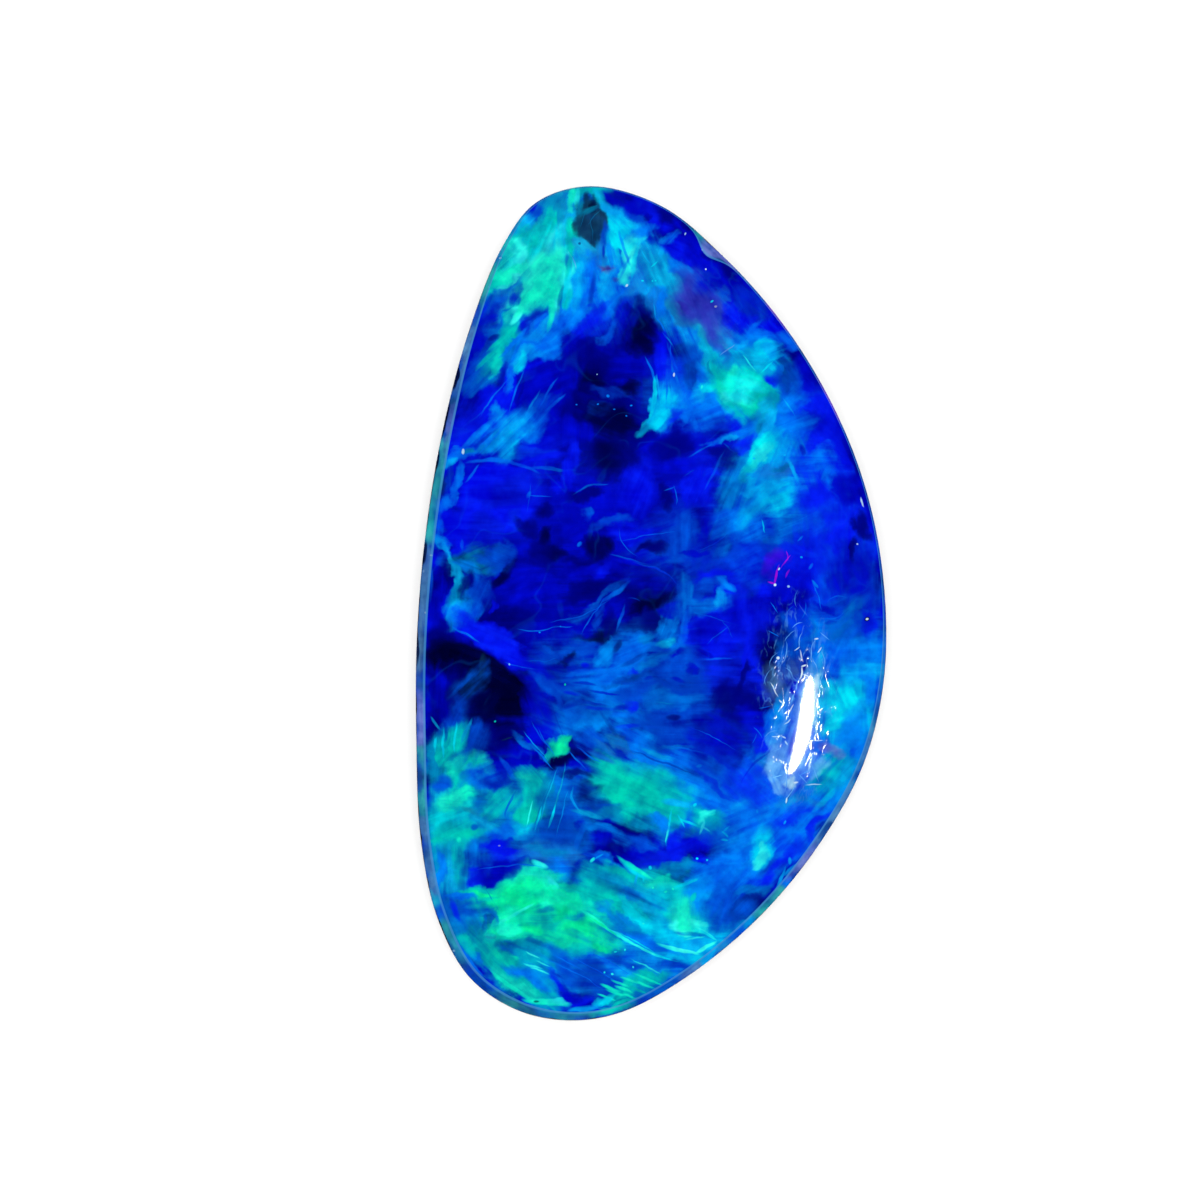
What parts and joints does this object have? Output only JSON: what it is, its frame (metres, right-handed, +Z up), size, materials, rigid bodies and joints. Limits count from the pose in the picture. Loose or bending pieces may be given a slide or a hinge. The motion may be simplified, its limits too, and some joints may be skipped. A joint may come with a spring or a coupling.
{
  "type": "opal cabochon",
  "caption": "Loose freeform blue-green opal cabochon with a half-moon outline, a low polished dome, a narrow bevelled rim and a flat back, lying on its back.",
  "frame": {"origin": "centre of the outline's box, on the flat back that the stone rests on", "axes": "+Z up out of the dome, +Y along the stone towards its narrow end, +X towards its bulging side"},
  "size_m": [0.0112, 0.02, 0.0036],
  "materials": {
    "opal": "high polish, blue and green play of colour over a black body"
  },
  "bodies": {
    "root": {"opal_cabochon": "opal"}
  },
  "joints": []
}
